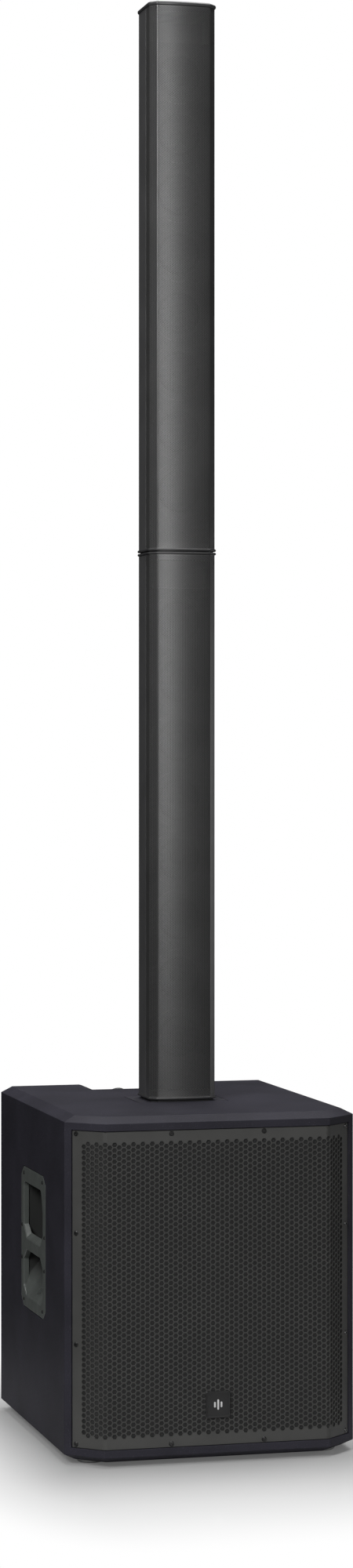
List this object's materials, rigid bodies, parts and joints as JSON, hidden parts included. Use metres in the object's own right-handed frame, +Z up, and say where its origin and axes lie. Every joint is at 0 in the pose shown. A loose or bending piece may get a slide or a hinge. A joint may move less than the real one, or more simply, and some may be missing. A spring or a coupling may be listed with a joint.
{
  "type": "pa speaker",
  "caption": "Column array loudspeaker: a slim perforated column in stacked sections plugs into a bass cabinet with a bent grille, side bar handles and a sloped rear control panel.",
  "frame": {"origin": "bottom centre of the whole object, on the floor under the rubber feet, midway between the outermost sides and between the front and the back", "axes": "+Z up the column, -Y towards the audience (the flat front grille), +X to the right as seen from the front"},
  "size_m": [0.4464, 0.499, 2.1915],
  "materials": {
    "cabinet_paint": "structured dark paint on birch plywood",
    "baffle_black": "matt black stained board",
    "raw_board": "unpainted plywood",
    "grille_steel": "powder-coated perforated steel",
    "foam": "open-cell acoustic foam",
    "screw_black": "black oxide",
    "badge_plastic": "dark satin plate",
    "handle_plastic": "fine-textured moulding",
    "rubber": "soft black rubber",
    "plate_paint": "structured dark paint",
    "socket_plastic": "black moulding",
    "cast_frame": "black painted casting",
    "ferrite": "pressed ferrite",
    "plated_steel": "zinc plated",
    "impregnated_cloth": "impregnated cloth",
    "roll_rubber": "rubber roll",
    "cone_paper": "coated paper",
    "copper": "enamelled copper on its former",
    "amp_paint": "fine matt black paint",
    "heatsink_black": "black anodised",
    "circuit_board": "green board with its parts",
    "connector_black": "black moulding",
    "rocker_red": "red moulding",
    "latch_metal": "nickel plated",
    "screw_zinc": "zinc plated",
    "display": "dark clear window",
    "shaft_steel": "turned steel",
    "knob_plastic": "soft-touch black",
    "button_plastic": "grey moulding",
    "column_aluminium": "dark powder coat",
    "column_cap": "satin dark moulding",
    "column_grille": "powder-coated fine perforated steel",
    "driver_black": "black frame",
    "column_baffle": "black plate"
  },
  "bodies": {
    "cabinet": {"left_side_panel": "cabinet_paint", "right_side_panel": "cabinet_paint", "top_panel": "cabinet_paint", "bottom_panel": "cabinet_paint", "back_panel": "cabinet_paint", "baffle_board": "baffle_black", "port_shelf": "raw_board", "grille_rails": "baffle_black", "grille_foam": "foam", "front_grille": "grille_steel", "grille_screws": "screw_black", "badge": "badge_plastic", "handle_left": "handle_plastic", "handle_right": "handle_plastic", "handle_screws": "screw_black", "cabinet_feet": "rubber", "column_plate": "plate_paint", "column_socket": "socket_plastic", "woofer_basket": "cast_frame", "woofer_magnet": "ferrite", "woofer_plates": "plated_steel", "woofer_screws": "screw_black", "woofer_spider": "impregnated_cloth", "woofer_surround": "roll_rubber", "amp_panel": "amp_paint", "amp_heatsink": "heatsink_black", "amp_board": "circuit_board", "mains_inlet": "connector_black", "combo_jacks": "connector_black", "link_jacks": "connector_black", "panel_screws": "screw_zinc", "control_tray": "amp_paint", "control_panel": "amp_paint", "display_window": "display"},
    "woofer_moving": {"woofer_cone": "cone_paper", "voice_coil": "copper", "dust_cap": "cone_paper"},
    "encoder_plunger": {"encoder_shaft": "shaft_steel"},
    "encoder_dial": {"encoder_knob": "knob_plastic"},
    "menu_button_a": {"menu_button_a": "button_plastic"},
    "menu_button_b": {"menu_button_b": "button_plastic"},
    "power_rocker": {"power_rocker": "rocker_red"},
    "latch_tab_a": {"latch_tab_a": "latch_metal"},
    "latch_tab_b": {"latch_tab_b": "latch_metal"},
    "lower_column": {"lower_housing": "column_aluminium", "lower_base_cap": "column_cap", "lower_top_cap": "column_cap", "lower_grille": "column_grille", "lower_baffle": "column_baffle", "lower_drivers": "driver_black", "lower_surrounds": "roll_rubber"},
    "lower_cones": {"lower_cones": "cone_paper"},
    "upper_column": {"upper_housing": "column_aluminium", "upper_base_cap": "column_cap", "upper_top_cap": "column_cap", "upper_grille": "column_grille", "upper_baffle": "column_baffle", "upper_drivers": "driver_black", "upper_surrounds": "roll_rubber"},
    "upper_cones": {"upper_cones": "cone_paper"}
  },
  "joints": [
    {"name": "lower_column_lift", "type": "slide", "parent": "cabinet", "child": "lower_column", "axis": [0, 0, 1], "range_m": [0, 0.06]},
    {"name": "upper_column_lift", "type": "slide", "parent": "lower_column", "child": "upper_column", "axis": [0, 0, 1], "range_m": [0, 0.06]},
    {"name": "woofer_stroke", "type": "slide", "parent": "cabinet", "child": "woofer_moving", "axis": [0, -1, 0], "range_m": [-0.008, 0.008], "stiffness_N_per_m": 3500, "deforming": ["woofer_surround", "woofer_spider"]},
    {"name": "lower_cones_stroke", "type": "slide", "parent": "lower_column", "child": "lower_cones", "axis": [0, -1, 0], "range_m": [-0.0015, 0.0015], "stiffness_N_per_m": 1500, "deforming": ["lower_surrounds"]},
    {"name": "upper_cones_stroke", "type": "slide", "parent": "upper_column", "child": "upper_cones", "axis": [0, -1, 0], "range_m": [-0.0015, 0.0015], "stiffness_N_per_m": 1500, "deforming": ["upper_surrounds"]},
    {"name": "encoder_push", "type": "slide", "parent": "cabinet", "child": "encoder_plunger", "axis": [0, -0.5779, -0.8161], "range_m": [0, 0.0008], "stiffness_N_per_m": 300, "springref_m": -0.003},
    {"name": "encoder_turn", "type": "hinge", "parent": "encoder_plunger", "child": "encoder_dial", "pos_m": [-0.044, 0.19048, 0.48866], "axis": [0, 0.5779, 0.8161], "continuous": true},
    {"name": "menu_button_a_push", "type": "slide", "parent": "cabinet", "child": "menu_button_a", "axis": [0, -0.5779, -0.8161], "range_m": [0, 0.001], "stiffness_N_per_m": 400, "springref_m": -0.002},
    {"name": "menu_button_b_push", "type": "slide", "parent": "cabinet", "child": "menu_button_b", "axis": [0, -0.5779, -0.8161], "range_m": [0, 0.001], "stiffness_N_per_m": 400, "springref_m": -0.002},
    {"name": "power_rocker_tilt", "type": "hinge", "parent": "cabinet", "child": "power_rocker", "pos_m": [0.078, 0.235, 0.162], "axis": [1, 0, 0], "range_deg": [-14, 0]},
    {"name": "latch_tab_a_push", "type": "slide", "parent": "cabinet", "child": "latch_tab_a", "axis": [0, -1, 0], "range_m": [0, 0.0015], "stiffness_N_per_m": 300, "springref_m": -0.002},
    {"name": "latch_tab_b_push", "type": "slide", "parent": "cabinet", "child": "latch_tab_b", "axis": [0, -1, 0], "range_m": [0, 0.0015], "stiffness_N_per_m": 300, "springref_m": -0.002}
  ]
}
